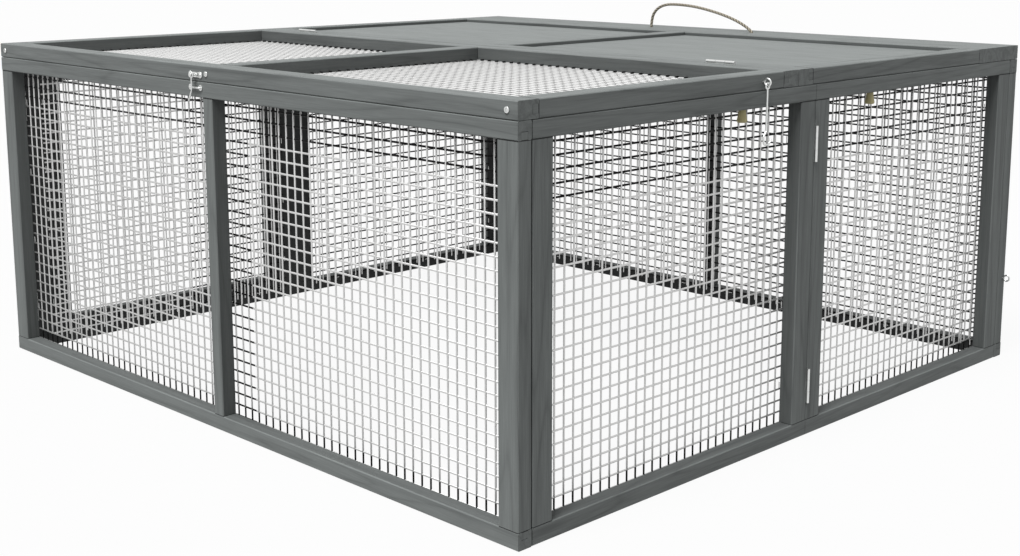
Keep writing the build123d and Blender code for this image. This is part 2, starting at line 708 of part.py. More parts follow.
def latch_plate():
    """Plate on the lid's front edge, with the headed post that the arm turns on."""
    front = -HALF_DEPTH
    height = LID_TOP - LATCH_PLATE_DROP
    half_length = LATCH_PLATE_LENGTH / 2
    half_height = LATCH_PLATE_HEIGHT / 2
    plate = block(
        (-LATCH_OFFSET - half_length, -LATCH_OFFSET + half_length),
        (front - LATCH_PLATE_THICKNESS, front),
        (height - half_height, height + half_height),
    )
    corners = plate.edges().filter_by(Axis.Y)
    plate = fillet(corners, half_height * 0.6)
    middle = (-LATCH_OFFSET, front, height)
    post_length = LATCH_STANDOFF + WIRE_RADIUS + KNUCKLE_CLEARANCE + LATCH_POST_HEAD_THICKNESS
    plate += rod(middle, (0, -1, 0), LATCH_POST_DIAMETER / 2, post_length)
    head_start = (-LATCH_OFFSET, front - post_length + LATCH_POST_HEAD_THICKNESS, height)
    plate += rod(head_start, (0, -1, 0), LATCH_POST_HEAD / 2, LATCH_POST_HEAD_THICKNESS)
    add("latch_plate", plate)


def latch_arm():
    """Wire arm that hangs from the post in front of the keeper, with a tail for the finger."""
    wire_y = -HALF_DEPTH - LATCH_STANDOFF
    pivot_z = LID_TOP - LATCH_PLATE_DROP
    eye = ring((-LATCH_OFFSET, wire_y, pivot_z), (0, 1, 0), LATCH_RING_DIAMETER)
    start_z = pivot_z - LATCH_RING_DIAMETER / 2
    end_z = pivot_z - LATCH_ARM_LENGTH
    route = [
        (-LATCH_OFFSET, wire_y, start_z),
        (-LATCH_OFFSET, wire_y, end_z),
        (-LATCH_OFFSET - LATCH_TAIL, wire_y, end_z),
    ]
    add("latch_arm", eye + bent_wire(route, HOOK_BEND_RADIUS))


def side_hook():
    """Wire hook that hangs from a screw eye; its ring is drawn round the origin in the YZ plane."""
    hook = ring((0, 0, 0), (1, 0, 0), HOOK_RING_DIAMETER)
    foot = HOOK_LENGTH - HOOK_RING_DIAMETER / 2
    sweep_back = HOOK_SWEEP * 0.6
    route = [
        (0, 0, -HOOK_RING_DIAMETER / 2),
        (0, 0, -foot + 1.7 * HOOK_SWEEP),
        (0, -sweep_back, -foot + HOOK_SWEEP),
        (0, -sweep_back * 0.7, -foot),
        (0, sweep_back, -foot),
        (0, HOOK_SWEEP, -foot + sweep_back),
    ]
    return hook + bent_wire(route, HOOK_BEND_RADIUS)


def side_hooks():
    """Hook on each side of the lid's front half, linked through its screw eye."""
    linked_z = HOOK_EYE_Z - EYE_RING_DIAMETER / 2
    hook = Pos(HALF_WIDTH + EYE_STANDOFF, HOOK_EYE_Y, linked_z) * side_hook()
    add("right_hook", hook)
    add("left_hook", *mirrored([hook], Plane.YZ))


def write_nodes():
    """Write every node to its own STEP file."""
    os.makedirs("parts", exist_ok=True)
    for name, solids in NODES.items():
        shape = solids[0] if len(solids) == 1 else Compound(children=solids)
        export_step(shape, f"parts/{name}.step")
    print(len(NODES), "nodes,", sum(len(solids) for solids in NODES.values()), "solids")


long_wall("rear_wall", 1)
rear_wall_eyes()
long_wall("front_wall", -1)
latch_keeper()
add_side_panels()
lid_front_half()
lid_rear_half()
rope_handle()
latch_plate()
latch_arm()
side_hooks()
write_nodes()
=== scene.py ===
import logging
import math
from dataclasses import dataclass, field
from enum import Enum
from typing import Any, Iterable

import bpy
from mathutils import Matrix, Vector


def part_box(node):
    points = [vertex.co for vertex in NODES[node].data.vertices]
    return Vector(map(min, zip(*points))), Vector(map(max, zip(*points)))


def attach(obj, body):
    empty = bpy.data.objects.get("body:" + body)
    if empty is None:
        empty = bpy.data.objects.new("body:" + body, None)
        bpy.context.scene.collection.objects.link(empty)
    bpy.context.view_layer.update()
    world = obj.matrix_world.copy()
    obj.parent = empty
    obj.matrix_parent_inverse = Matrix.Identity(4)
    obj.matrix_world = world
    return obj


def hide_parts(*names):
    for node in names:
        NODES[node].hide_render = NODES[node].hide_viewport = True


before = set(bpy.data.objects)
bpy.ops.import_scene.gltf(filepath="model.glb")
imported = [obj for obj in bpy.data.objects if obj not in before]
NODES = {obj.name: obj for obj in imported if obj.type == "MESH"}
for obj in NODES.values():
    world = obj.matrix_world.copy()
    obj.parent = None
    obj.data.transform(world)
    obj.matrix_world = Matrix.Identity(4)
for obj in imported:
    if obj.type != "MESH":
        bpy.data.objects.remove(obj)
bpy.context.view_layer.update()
LOG = logging.getLogger("rabbit_cage")
SHARP_EDGES = {"limit_method": "ANGLE", "angle_limit": math.radians(60)}
SMOOTH_ANGLE = math.radians(50)
EVEN = (1.0, 1.0, 1.0)

# The wide front wall faces -Y and the origin is on the floor under the middle of the pen.
LID_BOTTOM, LID_TOP = (corner.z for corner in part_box("lid_front_front_rail"))
INNER_X, OUTER_X = (corner.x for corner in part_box("right_rear_rails"))
INNER_Y, OUTER_Y = (corner.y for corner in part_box("rear_wall_top_rail"))


class Axis(Enum):
    """A direction of the pen, with its index in a vector."""

    X = 0
    Y = 1
    Z = 2


class Socket:
    """An output of a shader node that takes part in sums like a number."""

    def __init__(self, nodes: "NodeBoard", link: Any) -> None:
        """Keeps the node board and the socket.

        Args:
            nodes: The board that new nodes go on.
            link: The output socket.
        """
        self.nodes = nodes
        self.link = link

    def _math(self, operation: str, *values: Any) -> "Socket":
        """Returns the result of a Math node on the values."""
        return self.nodes.make("ShaderNodeMath", {"operation": operation}, dict(enumerate(values)))

    def __add__(self, other: Any) -> "Socket":
        """Returns the sum."""
        return self._math("ADD", self, other)

    def __sub__(self, other: Any) -> "Socket":
        """Returns the difference."""
        return self._math("SUBTRACT", self, other)

    def __mul__(self, other: Any) -> "Socket":
        """Returns the product."""
        return self._math("MULTIPLY", self, other)

    def __rsub__(self, other: Any) -> "Socket":
        """Returns a value less this one."""
        return self._math("SUBTRACT", other, self)

    __radd__ = __add__
    __rmul__ = __mul__

    def below(self, limit: Any) -> "Socket":
        """Returns 1 where this is under a limit and 0 elsewhere."""
        return self._math("LESS_THAN", self, limit)

    def distance_to(self, value: float) -> "Socket":
        """Returns how far this is from a value, never negative."""
        return self._math("ABSOLUTE", self - value)

    def fraction(self) -> "Socket":
        """Returns what is left over a whole number."""
        return self._math("FRACT", self)

    def largest(self, other: Any) -> "Socket":
        """Returns the larger of two values."""
        return self._math("MAXIMUM", self, other)


class NodeBoard:
    """The nodes of one material or world."""

    def __init__(self, tree: Any) -> None:
        """Empties a node tree.

        Args:
            tree: The node tree of a material or world.
        """
        self.tree = tree
        tree.nodes.clear()

    def make(self, kind: str, settings: dict[str, Any], inputs: dict[Any, Any], output: Any = 0) -> Socket:
        """Adds a node.

        Args:
            kind: The node's type name.
            settings: Attributes that are set first, with ramp stops under "stops".
            inputs: Values or sockets by input name or number.
            output: Name or number of the output to return.

        Returns:
            The chosen output.
        """
        node = self.tree.nodes.new(kind)
        for name, value in settings.items():
            if name == "stops":
                self._set_stops(node, value)
            else:
                setattr(node, name, value)
        for name, value in inputs.items():
            if isinstance(value, Socket):
                self.tree.links.new(value.link, node.inputs[name])
            else:
                node.inputs[name].default_value = value
        return Socket(self, node.outputs[output]) if node.outputs else Socket(self, None)

    @staticmethod
    def _set_stops(node: Any, stops: list[tuple[float, float]]) -> None:
        """Sets the grey levels of a colour ramp.

        Args:
            node: The ramp's node.
            stops: Its (place, level) pairs.
        """
        ramp = node.color_ramp
        for index, (place, level) in enumerate(stops):
            stop = ramp.elements[index] if index < len(ramp.elements) else ramp.elements.new(place)
            stop.position = place
            stop.color = (level, level, level, 1.0)

    def mix_colour(self, factor: Any, first: Any, second: Any) -> Socket:
        """Returns the first colour turning into the second as factor goes from 0 to 1."""
        settings = {"data_type": "RGBA", "clamp_factor": True}
        return self.make("ShaderNodeMix", settings, {0: factor, 6: first, 7: second}, 2)

    def object_place(self) -> Socket:
        """Returns the Object coordinates."""
        return self.make("ShaderNodeTexCoord", {}, {}, "Object")

    def along(self, place: Socket, axis: Axis) -> Socket:
        """Returns one coordinate of a place."""
        return self.make("ShaderNodeSeparateXYZ", {}, {0: place}, axis.value)

    def noise(
        self, place: Socket, scale: float, stretch: tuple[float, float, float], detail: float
    ) -> Socket:
        """Returns cloudy noise from 0 to 1.

        Args:
            place: The coordinates it reads.
            scale: Clouds per metre.
            stretch: How much the coordinates are squeezed along each axis.
            detail: Levels of finer noise.

        Returns:
            The noise value.
        """
        spread = self.make("ShaderNodeMapping", {}, {"Vector": place, "Scale": stretch})
        return self.make("ShaderNodeTexNoise", {}, {"Vector": spread, "Scale": scale, "Detail": detail})

    def ramp(self, value: Socket, stops: list[tuple[float, float]]) -> Socket:
        """Returns a value bent through (place, level) stops."""
        return self.make("ShaderNodeValToRGB", {"stops": stops}, {0: value})

    def bump(self, height: Socket, distance: float, strength: float) -> Socket:
        """Returns a normal from a height."""
        values = {"Height": height, "Distance": distance, "Strength": strength}
        return self.make("ShaderNodeBump", {}, values)

    def surface(self, inputs: dict[str, Any]) -> None:
        """Ends a material with one plain shader."""
        shader = self.make("ShaderNodeBsdfPrincipled", {}, inputs)
        self.make("ShaderNodeOutputMaterial", {}, {"Surface": shader})


def new_material(name: str) -> tuple[Any, NodeBoard]:
    """Makes an empty node material.

    Args:
        name: Its name.

    Returns:
        The material and its node board.
    """
    material = bpy.data.materials.new(name)
    material.use_nodes = True
    return material, NodeBoard(material.node_tree)


def grey(level: float, warmth: float = 0.0) -> tuple[float, float, float, float]:
    """Returns a linear colour near grey, a little warmer or cooler."""
    return (level * (1 + warmth), level, level * (1 - warmth), 1.0)


@dataclass(frozen=True)
class StainedTimber:
    """Grey stain over planed battens, with grain along the piece, and painted shade on set-back and inner
    faces.
    """

    tone: tuple[float, float, float, float] = (0.196, 0.211, 0.207, 1.0)
    shade: tuple[float, float, float, float] = (0.112, 0.121, 0.119, 1.0)
    # Near-black painted shade for faces set back from the outside and for faces inside the pen or under the
    # lid
    painted_shade_tone: tuple[float, float, float, float] = (0.032, 0.034, 0.034, 1.0)
    joint_tone: tuple[float, float, float, float] = (0.012, 0.013, 0.013, 1.0)
    streaks: float = 110.0
    fibres: float = 700.0
    stretch: float = 0.035
    year_rings: float = 7.0
    joint_width: float = 0.0007
    roughness: float = 0.62
    inner_shade_slack: float = 0.0004
    recess_depth: float = 0.0014
    recess_shade_share: float = 0.45
    cloud_scale: float = 9.0
    flow_scale: float = 24.0
    flow_stretch: float = 2.2
    grain_share: float = 0.38
    fibre_share: float = 0.22
    ring_share: float = 0.36
    cloud_share: float = 0.14
    broad_relief: float = 0.6
    relief: float = 0.0004
    relief_strength: float = 0.35
    roughness_spread: float = 0.12
    specular: float = 0.32

    def make(self, name: str, grain: Axis, joints: Iterable[float] = (), depth: float = 1.0) -> Any:
        """Makes the material of one timber.

        Args:
            name: The material's name.
            grain: The direction of the grain.
            joints: Places along the grain where it butts against another timber.
            depth: How strongly the grain shows.

        Returns:
            The material.
        """
        material, board = new_material(name)
        place = board.object_place()
        stretch = [1.0, 1.0, 1.0]
        stretch[grain.value] = self.stretch
        broad = board.noise(place, self.streaks, tuple(stretch), 4.0)
        fine = board.noise(place, self.fibres, tuple(stretch), 3.0)
        clouds = board.noise(place, self.cloud_scale, EVEN, 2.0)
        stretch[grain.value] *= self.flow_stretch
        flow = board.noise(place, self.flow_scale, tuple(stretch), 1.0)
        ring_edge = (flow * self.year_rings).fraction().distance_to(0.5)
        rings = board.ramp(ring_edge, [(0.0, 1.0), (0.12, 0.25), (0.3, 0.0)])
        grain_shade = board.ramp(broad, [(0.36, 0.0), (0.50, 0.35), (0.66, 1.0)])
        fibre_shade = board.ramp(fine, [(0.35, 0.0), (0.65, 1.0)])
        amount = grain_shade * self.grain_share + fibre_shade * self.fibre_share
        amount = (amount + rings * self.ring_share + clouds * self.cloud_share) * depth
        colour = board.mix_colour(amount, self.tone, self.shade)
        along = board.along(place, grain)
        for joint in joints:
            line = along.distance_to(joint).below(self.joint_width)
            colour = board.mix_colour(line, colour, self.joint_tone)
        # Painted shade on faces set back from the outside of the walls and the lid
        colour = board.mix_colour(self._recess_shade(board, place) * self.recess_shade_share, colour, self.painted_shade_tone)
        # Painted shade on faces inside the pen and under the lid
        colour = board.mix_colour(self._inner_shade(board, place), colour, self.painted_shade_tone)
        height = broad * self.broad_relief + fine * (1 - self.broad_relief)
        normal = board.bump(height, self.relief, self.relief_strength * depth)
        board.surface({
            "Base Color": colour,
            "Roughness": fibre_shade * self.roughness_spread + self.roughness,
            "Normal": normal,
            "Specular IOR Level": self.specular,
        })
        return material

    @staticmethod
    def _within(board: NodeBoard, place: Socket, limits: tuple[float, float, float]) -> Socket:
        """Tells what lies near the upright middle line and low enough.

        Args:
            board: The material's node board.
            place: The coordinates it reads.
            limits: Largest distance from the middle along X and along Y, and largest height.

        Returns:
            1 within the limits and 0 elsewhere.
        """
        within_x = board.along(place, Axis.X).distance_to(0.0).below(limits[0])
        within_y = board.along(place, Axis.Y).distance_to(0.0).below(limits[1])
        return within_x * within_y * board.along(place, Axis.Z).below(limits[2])

    def _inner_shade(self, board: NodeBoard, place: Socket) -> Socket:
        """Returns 1 on faces that look into the pen or lie under the lid, where shade is painted."""
        slack = self.inner_shade_slack
        return self._within(board, place, (INNER_X + slack, INNER_Y + slack, LID_BOTTOM + slack))

    def _recess_shade(self, board: NodeBoard, place: Socket) -> Socket:
        """Returns 1 on faces that stand back from the outside of the walls and the lid, where shade is
        painted.
        """
        depth = self.recess_depth
        return self._within(board, place, (OUTER_X - depth, OUTER_Y - depth, LID_TOP - depth))


@dataclass(frozen=True)
class BrightZinc:
    """Bright zinc of the fittings and the staples."""

    tone: tuple[float, float, float, float] = (0.72, 0.73, 0.72, 1.0)
    roughness: float = 0.24
    roughness_spread: float = 0.18
    mottling: float = 240.0
    contrast: float = 0.25
    dull_share: float = 0.7
    relief: float = 0.0001
    relief_strength: float = 0.2

    def make(self, name: str) -> Any:
        """Makes the metal's material.

        Args:
            name: The material's name.

        Returns:
            The material.
        """
        material, board = new_material(name)
        place = board.object_place()
        spots = board.noise(place, self.mottling, EVEN, 3.0)
        dull = tuple(part * self.dull_share for part in self.tone[:3]) + (1.0,)
        board.surface({
            "Base Color": board.mix_colour(spots * self.contrast, self.tone, dull),
            "Metallic": 1.0,
            "Roughness": spots * self.roughness_spread + self.roughness,
            "Normal": board.bump(spots, self.relief, self.relief_strength),
        })
        return material


@dataclass(frozen=True)
class WeldedWire:
    """Pale galvanised wire, dark where the timber beside it keeps the light away."""

    tone: tuple[float, float, float, float] = (0.61, 0.61, 0.605, 1.0)
    shade: tuple[float, float, float, float] = (0.010, 0.010, 0.010, 1.0)
    dull: float = 0.54
    roughness: float = 0.46
    roughness_spread: float = 0.1
    mottling: float = 240.0
    contrast: float = 0.25

    def make(self, name: str, shades: Iterable[tuple[Axis, float, float]] = ()) -> Any:
        """Makes the wire's material.

        Args:
            name: The material's name.
            shades: Dark stretches, each an axis with its lower and upper limit.

        Returns:
            The material.
        """
        material, board = new_material(name)
        place = board.object_place()
        spots = board.noise(place, self.mottling, EVEN, 2.0)
        colour = board.mix_colour(spots * self.contrast, self.tone, grey(self.dull))
        for axis, low, high in shades:
            beside = board.along(place, axis).distance_to((low + high) / 2).below((high - low) / 2)
            colour = board.mix_colour(beside, colour, self.shade)
        roughness = spots * self.roughness_spread + self.roughness
        board.surface({"Base Color": colour, "Metallic": 1.0, "Roughness": roughness})
        return material


@dataclass(frozen=True)
class TwistedFibre:
    """Yarn of the rope handle."""

    tone: tuple[float, float, float, float]
    shade: tuple[float, float, float, float]
    yarn_scale: float = 1400.0
    tuft_scale: float = 260.0
    yarn_share: float = 0.55
    tuft_share: float = 0.35
    roughness: float = 0.85

    def make(self, name: str) -> Any:
        """Makes the yarn's material.

        Args:
            name: The material's name.

        Returns:
            The material.
        """
        material, board = new_material(name)
        place = board.object_place()
        yarn = board.noise(place, self.yarn_scale, EVEN, 3.0)
        tufts = board.noise(place, self.tuft_scale, EVEN, 2.0)
        amount = yarn * self.yarn_share + tufts * self.tuft_share
        board.surface({
            "Base Color": board.mix_colour(amount, self.tone, self.shade),
            "Roughness": yarn * 0.1 + self.roughness,
            "Normal": board.bump(yarn, 0.0004, 0.7),
            "Specular IOR Level": 0.2,
        })
        return material


@dataclass(frozen=True)
class KhakiMoulding:
    """Dull khaki of the cord stoppers, a little streaked down their sides."""

    tone: tuple[float, float, float, float] = (0.700, 0.625, 0.330, 1.0)
    shade: tuple[float, float, float, float] = (0.400, 0.360, 0.190, 1.0)
    streaks: float = 420.0
    stretch: float = 0.12
    roughness: float = 0.5

    def make(self, name: str) -> Any:
        """Makes the stoppers' material.

        Args:
            name: The material's name.

        Returns:
            The material.
        """
        material, board = new_material(name)
        place = board.object_place()
        streaks = board.noise(place, self.streaks, (1.0, 1.0, self.stretch), 3.0)
        board.surface({
            "Base Color": board.mix_colour(streaks, self.tone, self.shade),
            "Roughness": streaks * 0.2 + self.roughness,
            "Normal": board.bump(streaks, 0.0003, 0.4),
        })
        return material


def deselect_all() -> None:
    """Leaves object mode's selection empty."""
    bpy.ops.object.select_all(action="DESELECT")


def select_only(pieces: list[Any]) -> None:
    """Selects some objects and nothing else.

    Args:
        pieces: The objects, of which the first becomes the active one.
    """
    deselect_all()
    for piece in pieces:
        piece.select_set(True)
    bpy.context.view_layer.objects.active = pieces[0]


def dress_in(piece: Any, material: Any) -> None:
    """Leaves a piece with one material."""
    piece.data.materials.clear()
    piece.data.materials.append(material)


def finish_piece(piece: Any, name: str, material: Any, body: str) -> Any:
    """Names a finished piece, dresses it and lets it ride.

    Args:
        piece: The object.
        name: Its name.
        material: Its material, or None to keep the ones it has.
        body: The body it moves with.

    Returns:
        The piece.
    """
    piece.name = name
    if material is not None:
        dress_in(piece, material)
    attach(piece, body)
    LOG.info("%s rides on %s", name, body)
    return piece


def join_all(pieces: list[Any]) -> Any:
    """Joins several objects into the first and puts its place in its mesh.

    Args:
        pieces: The mesh objects.

    Returns:
        The joined object.
    """
    select_only(pieces)
    if len(pieces) > 1:
        bpy.ops.object.join()
    bpy.ops.object.transform_apply(location=True, rotation=True, scale=True)
    return bpy.context.view_layer.objects.active


def copies_at(pattern: Any, places: list[Matrix]) -> Any:
    """Copies a pattern to several places, each copy with its own mesh, and joins them.

    Args:
        pattern: The object that is copied, which is used up.
        places: One matrix for each copy.

    Returns:
        The joined object.
    """
    made = []
    for place in places:
        copy = pattern.copy()
        copy.data = pattern.data.copy()
        copy.matrix_world = place
        bpy.context.collection.objects.link(copy)
        made.append(copy)
    bpy.data.objects.remove(pattern)
    return join_all(made)


def apply_modifier(piece: Any, kind: str, **settings: Any) -> None:
    """Adds a modifier to a piece, sets it and applies it.

    Args:
        piece: The object.
        kind: The modifier's type.
        **settings: Its settings.
    """
    select_only([piece])
    modifier = piece.modifiers.new(kind.title(), kind)
    for name, value in settings.items():
        setattr(modifier, name, value)
    bpy.ops.object.modifier_apply(modifier=modifier.name)


def bar(length: float, radius: float, sides: int, bevel: float) -> Any:
    """Makes a round bar along Z round the origin, with its ends eased.

    Args:
        length: Its length.
        radius: Its radius.
        sides: How many sides it has.
        bevel: How far its ends are eased.

    Returns:
        The bar.
    """
    deselect_all()
    bpy.ops.mesh.primitive_cylinder_add(vertices=sides, radius=radius, depth=length)
    piece = bpy.context.active_object
    apply_modifier(piece, "BEVEL", width=bevel, segments=1, **SHARP_EDGES)
    bpy.ops.object.shade_smooth_by_angle(angle=SMOOTH_ANGLE)
    return piece


def batten(low: Vector, high: Vector, arris: float) -> Any:
    """Makes a straight batten between two corners, with its edges broken.

    Args:
        low: Its lowest corner.
        high: Its highest corner.
        arris: How far its edges are broken.

    Returns:
        The batten.
    """
    deselect_all()
    bpy.ops.mesh.primitive_cube_add(size=1.0, location=(low + high) / 2)
    piece = bpy.context.active_object
    piece.scale = high - low
    piece = join_all([piece])
    apply_modifier(piece, "BEVEL", width=arris, segments=2, **SHARP_EDGES)
    bpy.ops.object.shade_smooth_by_angle(angle=SMOOTH_ANGLE)
    return piece


def wire_along(name: str, points: list[Vector], radius: float) -> Any:
    """Makes a round wire that follows points, with closed ends.

    Args:
        name: Its name.
        points: The points of its centre line.
        radius: Its radius.

    Returns:
        The wire as a mesh.
    """
    curve = bpy.data.curves.new(name, "CURVE")
    curve.dimensions = "3D"
    curve.bevel_depth = radius
    curve.bevel_resolution = 2
    curve.use_fill_caps = True
    spline = curve.splines.new("POLY")
    spline.points.add(len(points) - 1)
    for point, place in zip(spline.points, points):
        point.co = (*place, 1.0)
    holder = bpy.data.objects.new(name, curve)
    bpy.context.collection.objects.link(holder)
    select_only([holder])
    bpy.ops.object.convert(target="MESH")
    return bpy.context.active_object


def turn_to(axis: Axis) -> Matrix:
    """Turns a piece drawn along Z so that it lies along another axis.

    Args:
        axis: The axis that it comes to lie along.

    Returns:
        The turn.
    """
    if axis is Axis.X:
        return Matrix.Rotation(math.radians(90), 4, "Y")
    if axis is Axis.Y:
        return Matrix.Rotation(math.radians(-90), 4, "X")
    return Matrix.Identity(4)


@dataclass
class WireSheet:
    """A welded wire sheet, with the staples that hold it on the timber."""

    node: str
    body: str
    upright_shades: tuple[tuple[Axis, float, float], ...] = ()
    cross_shades: tuple[tuple[Axis, float, float], ...] = ()
    pitch: float = 0.015
    wire_width: float = 0.0025
    upright_depth: float = 0.0020
    cross_depth: float = 0.0013
    lowest_row: float = 0.0335
    edge_margin: float = 0.0015
    sides: int = 8
    staple_step: float = 0.105
    staple_inset: float = 0.004
    staple_length: float = 0.009
    staple_radius: float = 0.0006
    staple_depth: float = 0.0017
    centre_lap: float = 0.008
    metal: WeldedWire = WeldedWire()
    end_length: float = 0.0065
    end_radius: float = 0.0012
    end_rise: float = 0.0004
    # Near-black painted shade on the cut wire ends beside the lid's rails
    end_painted_shade: WeldedWire = WeldedWire(tone=WeldedWire.shade, dull=0.016)
    wire_easing: float = 0.15
    staple_side_inset: float = 0.0018
    staple_easing: float = 0.5
    end_easing: float = 0.4
    small_sides: int = 6

    def build(self, staple_metal: Any) -> None:
        """Builds the wires of every sheet in the node, and their staples.

        Args:
            staple_metal: The staples' material.
        """
        low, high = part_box(self.node)
        sizes = [high[n] - low[n] for n in range(3)]
        across = Axis(sizes.index(min(sizes)))
        outward = math.copysign(1.0, (low + high)[across.value])
        upright = Axis.Y if across is Axis.Z else Axis.Z
        level = Axis.Y if across is Axis.X else Axis.X
        face = high[across.value] if outward > 0 else low[across.value]
        middle = face - outward * self.upright_depth / 2
        uprights, levels, staples, ends = [], [], [], []
        for start, end in self._spans(low, high, level):
            low[level.value], high[level.value] = start, end
            uprights.append(self._run((low, high), (upright, level, across), middle, self.upright_depth))
            levels.append(self._run((low, high), (level, upright, across), middle, self.cross_depth))
            depth = face - outward * self.staple_depth
            staples += self._staple_places(low, high, (level, upright, across), depth)
            if across is Axis.Z:
                ends += self._end_places(low, high, face + self.end_rise)
        for group, name, shades in (
            (uprights, "uprights", self.upright_shades),
            (levels, "cross_wires", self.cross_shades),
        ):
            wires = join_all(group)
            material = self.metal.make(f"wire_{self.node}_{name}", shades)
            finish_piece(wires, f"{self.node}_{name}", material, self.body)
            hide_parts(self.node)
        easing = self.staple_radius * self.staple_easing
        pattern = bar(self.staple_length, self.staple_radius, self.small_sides, easing)
        holders = copies_at(pattern, staples)
        finish_piece(holders, f"{self.node}_staples", staple_metal, self.body)
        # The cut wire ends are real; their near-black colour is painted shade standing in for the dark gaps
        # at the mesh's edge
        if ends:
            easing = self.end_radius * self.end_easing
            pattern = bar(self.end_length, self.end_radius, self.small_sides, easing)
            dark = self.end_painted_shade.make("cut_wire_ends_painted_shade")
            finish_piece(copies_at(pattern, ends), f"{self.node}_cut_ends_painted_shade", dark, self.body)

    def _spans(self, low: Vector, high: Vector, level: Axis) -> list[tuple[float, float]]:
        """Splits the lid's node into its two sheets.

        Args:
            low: Lowest corner of the node.
            high: Highest corner of the node.
            level: The level direction of the sheets.

        Returns:
            The limits of each sheet along the level direction.
        """
        start, end = low[level.value], high[level.value]
        if not self.node.startswith("lid"):
            return [(start, end)]
        rail_low, rail_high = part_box("lid_front_centre_rail")
        left_end = rail_low[level.value] + self.centre_lap
        right_start = rail_high[level.value] - self.centre_lap
        return [(start, left_end), (right_start, end)]

    def _run(
        self, corners: tuple[Vector, Vector], axes: tuple[Axis, Axis, Axis], middle: float, depth: float
    ) -> Any:
        """Builds all wires of one direction.

        Args:
            corners: Lowest and highest corner of the sheet.
            axes: Direction of the wires, direction in which they repeat and direction through the sheet.
            middle: Place of their centre lines through the sheet.
            depth: Their thickness through the sheet.

        Returns:
            The joined wires.
        """
        low, high = corners
        along, over, across = axes
        first = (low + high) / 2
        first[over.value], count = self._rows(low, high, over)
        first[across.value] = middle
        flat = [1.0, 1.0, 1.0, 1.0]
        flat[across.value] = depth / self.wire_width
        length = high[along.value] - low[along.value]
        wire = bar(length, self.wire_width / 2, self.sides, self.wire_width * self.wire_easing)
        wire.matrix_world = Matrix.Translation(first) @ Matrix.Diagonal(flat) @ turn_to(along)
        wire = join_all([wire])
        offset = [0.0, 0.0, 0.0]
        offset[over.value] = self.pitch
        apply_modifier(
            wire, "ARRAY", count=count, use_relative_offset=False,
            use_constant_offset=True, constant_offset_displace=offset,
        )
        return wire

    def _rows(self, low: Vector, high: Vector, over: Axis) -> tuple[float, int]:
        """Returns where the first wire of one direction lies, and how many there are.

        Args:
            low: Lowest corner of the sheet.
            high: Highest corner of the sheet.
            over: Direction in which the wires repeat.

        Returns:
            The first wire's place and the count.
        """
        edge = low[over.value] + self.edge_margin
        anchor = self.lowest_row if over is Axis.Z else (low + high)[over.value] / 2
        first = anchor + self.pitch * math.ceil((edge - anchor) / self.pitch)
        return first, int((high[over.value] - self.edge_margin - first) / self.pitch) + 1

    def _end_places(self, low: Vector, high: Vector, height: float) -> list[Matrix]:
        """Returns the places of the cut wire ends beside the lid's seam rail and one side rail.

        Args:
            low: Lowest corner of the sheet.
            high: Highest corner of the sheet.
            height: Height of the ends' centre lines.

        Returns:
            One matrix for each end.
        """
        lap = high.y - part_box("lid_front_seam_rail")[0].y
        far = high.y - lap - self.end_length / 2
        near = low.x + lap + self.end_length / 2
        first, count = self._rows(low, high, Axis.X)
        columns = [Vector((first + self.pitch * n, far, height)) for n in range(count)]
        first, count = self._rows(low, high, Axis.Y)
        rows = [Vector((near, first + self.pitch * n, height)) for n in range(count)]
        inside = [spot for spot in columns if near < spot.x < high.x - lap]
        beside = [spot for spot in rows if low.y + lap < spot.y < far]
        places = [Matrix.Translation(spot) @ turn_to(Axis.Y) for spot in inside]
        return places + [Matrix.Translation(spot) @ turn_to(Axis.X) for spot in beside]

    def _staple_places(
        self, low: Vector, high: Vector, axes: tuple[Axis, Axis, Axis], depth: float
    ) -> list[Matrix]:
        """Returns the places of the staples along the sheet's four edges.

        Args:
            low: Lowest corner of the sheet.
            high: Highest corner of the sheet.
            axes: Level, upright and through direction of the sheet.
            depth: Place of the staples through the sheet.

        Returns:
            One matrix for each staple.
        """
        level, upright, across = axes
        places = []
        for along, over in ((level, upright), (upright, level)):
            length = high[along.value] - low[along.value] - 2 * self.staple_inset
            count = max(2, round(length / self.staple_step))
            inset = self.staple_inset if over is upright else self.staple_side_inset
            for edge in (low[over.value] + inset, high[over.value] - inset):
                for index in range(count):
                    spot = Vector((0.0, 0.0, 0.0))
                    spot[along.value] = low[along.value] + self.staple_inset + length * (index + 0.5) / count
                    spot[over.value] = edge
                    spot[across.value] = depth
                    places.append(Matrix.Translation(spot) @ turn_to(along))
        return places


@dataclass
class CrossHeadScrews:
    """Domed screw heads with a cross recess."""

    name: str
    body: str
    places: list[Vector]
    material: Any
    radius: float
    height: float
    replaced: tuple[str, ...] = ()
    recess_length: float = 0.62
    recess_width: float = 0.2
    recess_depth: float = 0.55
    sides: int = 28
    crown: float = 0.62
    smooth_angle: float = math.radians(40)

    def build(self) -> None:
        """Builds the heads; they face -Y from each place."""
        deselect_all()
        bpy.ops.mesh.primitive_cylinder_add(vertices=self.sides, radius=self.radius, depth=self.height)
        head = bpy.context.active_object
        head.location.z = self.height / 2
        head = join_all([head])
        apply_modifier(head, "BEVEL", width=self.height * self.crown, segments=4, **SHARP_EDGES)
        cutters = []
        for turn in (0.0, math.radians(90)):
            deselect_all()
            bpy.ops.mesh.primitive_cube_add(size=1.0)
            cutter = bpy.context.active_object
            across = self.radius * 2
            cutter.scale = (across * self.recess_length, across * self.recess_width, self.height)
            cutter.rotation_euler.z = turn
            cutter.location.z = self.height * (1.5 - self.recess_depth)
            cutters.append(join_all([cutter]))
        for cutter in cutters:
            apply_modifier(head, "BOOLEAN", operation="DIFFERENCE", object=cutter, solver="EXACT")
            bpy.data.objects.remove(cutter)
        bpy.ops.object.shade_smooth_by_angle(angle=self.smooth_angle)
        turn = Matrix.Rotation(math.radians(90), 4, "X")
        heads = copies_at(head, [Matrix.Translation(place) @ turn for place in self.places])
        finish_piece(heads, self.name, self.material, self.body)
        if self.replaced:
            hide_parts(*self.replaced)


